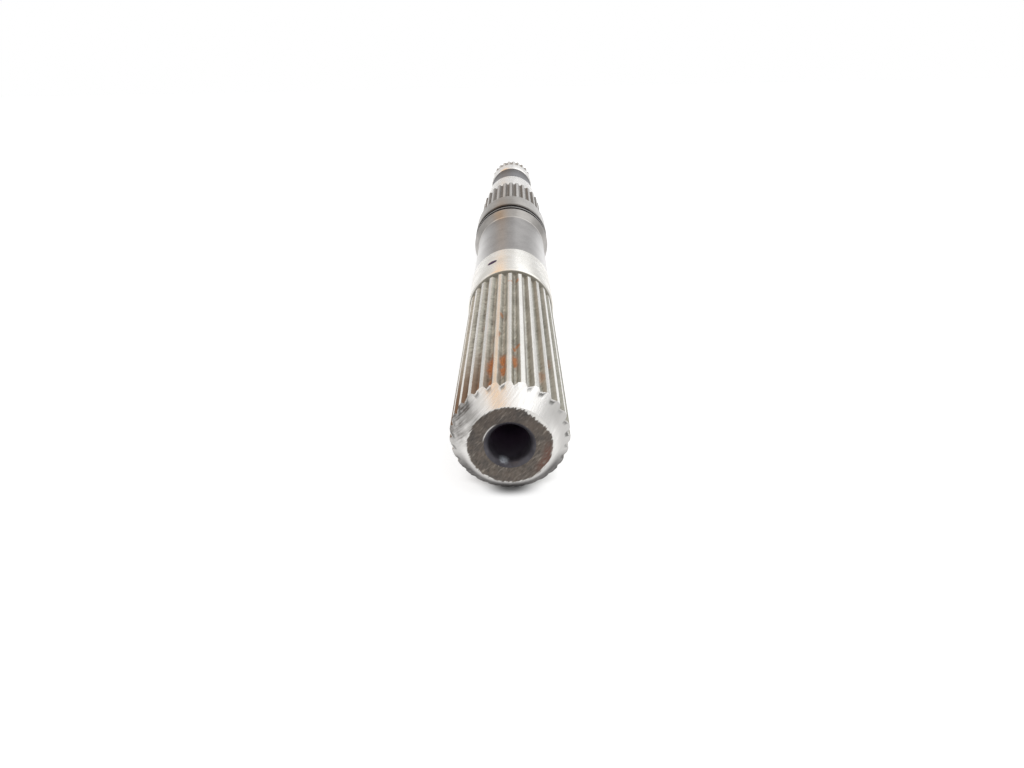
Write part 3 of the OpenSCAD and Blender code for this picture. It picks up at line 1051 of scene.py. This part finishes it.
# %% Give the shaft its finishes
drawn = {
    "bore_skin": bore_wall,
    "end_face_skin": scratched_face,
    "ground_chamfer": ground_cone,
    "tail_spline_skin": spline(TAIL, screen(226, 224, 220), screen(206, 204, 194), screen(112, 109, 98), 1.0),
    "groove_skin": groove_floor,
    "ground_seat": ground(screen(246, 244, 239), screen(206, 201, 192), 0.22, 0.38, 3.0),
    "dull_body": dull(screen(152, 148, 146), screen(110, 107, 106), 0.27, 0.7, (0.78, 0.3)),
    # The cone's paler ring at 186.9 mm is a painted highlight on its rounded start.
    "turned_cone": ground(screen(172, 168, 164), screen(128, 124, 120), 0.28, 0.4, 1.6, (186.9, 1.1)),
    "worn_collar": dull(
        screen(160, 153, 144), screen(96, 92, 88), 0.26, 1.4, (0.0, 0.4), -20.0, (204.5, 208.5)
    ),
    "hub_spline_skin": spline(HUB, screen(176, 172, 168), screen(134, 129, 124), screen(98, 92, 87), 0.3),
    "ground_journal": ground(screen(248, 246, 244), screen(215, 212, 207), 0.22, 0.36, 2.4),
    "dark_neck": dull(
        screen(122, 122, 126), screen(90, 90, 95), 0.42, 0.8, (0.0, 0.15), 0.0, (350.0, 325.0)
    ),
    "pilot_spline_skin": spline(
        PILOT_TEETH, screen(226, 224, 221), screen(176, 171, 166), screen(140, 134, 128), 0.3
    ),
    "faced_end": lathe_face,
}
for name in SKINS:
    shaft.data.materials.append(new_metal(name, drawn[name]))
print("Materials on the shaft:", [m.name for m in shaft.data.materials])

# %% [markdown]
# ## Table, light and surroundings
# The shaft lies on a white table. It rests on two teeth of the spline near its drilled end and on the collar,
# so the table slopes a little in the shaft's frame. For the camera the table and the world are white. Round
# the drilled end and under the shaft the table's glow fades out in a painted patch, so its soft shadow there
# is real shade deepened by a painted shadow. The steel mirrors what is round it: a wide white softbox on the
# right, a warm card on the left, and light grey low down.

# %% Table
FRONT_REST = (6.0, -14.93)
BACK_REST = (COLLAR_AT + EDGE, -COLLAR_R)
table_slope = (BACK_REST[1] - FRONT_REST[1]) / (BACK_REST[0] - FRONT_REST[0])
TABLE_HALF = 3000.0
TABLE_GAP = 0.02
corner_x = np.array([-1, 1, 1, -1]) * TABLE_HALF
corner_y = np.array([-1, -1, 1, 1]) * TABLE_HALF
corner_z = FRONT_REST[1] - TABLE_GAP + table_slope * (corner_y - FRONT_REST[0])
table_mesh = bpy.data.meshes.new("white_table")
table_mesh.from_pydata((np.stack([corner_x, corner_y, corner_z], axis=1) * MM).tolist(), [], [(0, 1, 2, 3)])
table = add_object("white_table", table_mesh)
white, tree, shader = new_material("white_table_top")
rays = put(tree, "LightPath").outputs
mirror = calc(tree, "MAXIMUM", rays["Is Glossy Ray"], rays["Is Transmission Ray"])
seen = calc(tree, "MAXIMUM", rays["Is Camera Ray"], mirror)
here = parts(tree, put(tree, "TexCoord").outputs["Object"])
# The glow fades out in a painted shadow patch: narrow in front of the drilled end, wider under the shaft.
beside = times(tree, here[0], fade(tree, here[1], 0.003, 0.009, 133.0, 78.0))
before = scaled(tree, here[1], -220.0, 1.0)
behind = scaled(tree, here[1], 30.0, -4.0)
front = calc(tree, "MAXIMUM", calc(tree, "MAXIMUM", before, behind), 0.0)
away = calc(tree, "SQRT", scaled(tree, beside, beside, times(tree, front, front)))
glow_round_painted_shadow = fade(tree, away, 0.15, 1.1, 0.0, 0.72)
plain = {"Base Color": (0.5, 0.5, 0.5, 1), "Roughness": 0.6, "Specular IOR Level": 0.1}
feed(tree, shader, plain)
feed(tree, shader, {"Emission Color": (1, 1, 1, 1), "Emission Strength": times(tree, seen, glow_round_painted_shadow)})
table_mesh.materials.append(white)
print("The table slopes by", round(float(np.degrees(np.arctan(table_slope))), 2), "degrees")

# %% Softbox and warm card
lamp = bpy.data.lights.new("softbox", "AREA")
lamp.shape = "RECTANGLE"
lamp.size = 0.7
lamp.size_y = 3.7
lamp.energy = 3.85
lamp.color = (0.97, 0.99, 1.0)
softbox = add_object("softbox", lamp)
softbox.location = (0.47, 1.35, 0.62)

card_mesh = bpy.data.meshes.new("warm_card")
card_corners = [(-0.54, -0.5, 0.6), (0.06, -0.5, 0.6), (-0.04, 2.3, 0.6), (-0.64, 2.3, 0.6)]
card_mesh.from_pydata(card_corners, [], [(0, 3, 2, 1)])
card = add_object("warm_card", card_mesh)
card.visible_camera = False
card.visible_diffuse = False
card.visible_shadow = False
warm, tree, shader = new_material("warm_card")
card_at = parts(tree, put(tree, "TexCoord").outputs["Object"])
off_middle = calc(tree, "ADD", scaled(tree, card_at[1], 0.036, 0.258), card_at[0])
soft_edge = fade(tree, calc(tree, "ABSOLUTE", off_middle), 0.28, 0.0)
feed(tree, shader, {"Base Color": (0, 0, 0, 1), "Alpha": soft_edge})
feed(tree, shader, {"Emission Color": (1.0, 0.7, 0.45, 1), "Emission Strength": 0.97})
card_mesh.materials.append(warm)
print("Lamp", softbox.name, "and card", card.name)

# %% World
PLAIN_LIGHT = 0.75
world = bpy.data.worlds.new("studio")
bpy.context.scene.world = world
world.use_nodes = True
tree = world.node_tree
tree.nodes.clear()
path = put(tree, "LightPath").outputs
way = put(tree, "TexCoord").outputs["Generated"]
up = parts(tree, way)[2]
mirrored = fade(tree, up, 0.25, 0.8, 0.76, 1.0)
mirror = calc(tree, "MAXIMUM", path["Is Glossy Ray"], path["Is Transmission Ray"])
strength = put(tree, "Mix", {0: mirror, 2: PLAIN_LIGHT, 3: mirrored}, data_type="FLOAT").outputs[0]
shares = {0: path["Is Camera Ray"], 2: strength, 3: 1.0}
strength = put(tree, "Mix", shares, data_type="FLOAT").outputs[0]
sky = put(tree, "Background", {"Color": (1, 1, 1, 1), "Strength": strength}).outputs[0]
put(tree, "OutputWorld", {"Surface": sky})
bpy.context.scene.view_settings.view_transform = "Standard"
print("World light for plain surfaces:", PLAIN_LIGHT)

# %% [markdown]
# ## Camera
# The camera was fitted to the photograph: a wide lens close to the drilled end, a little above it. Its values
# are in the shaft's own frame.

# %% Camera
SENSOR = 36.0
FOCAL_PIXELS = 710.0
PICTURE_PIXELS = 1024.0
eye = bpy.data.cameras.new("camera")
eye.sensor_width = SENSOR
eye.lens = SENSOR * FOCAL_PIXELS / PICTURE_PIXELS
eye.clip_start = 0.01
eye.clip_end = 20.0
camera = add_object("camera", eye)
camera.location = (0.00209, -0.14864, 0.08644)
camera.rotation_euler = np.radians((64.785, 1.000, 0.033))
bpy.context.scene.camera = camera
print("Lens:", round(eye.lens, 2), "mm")
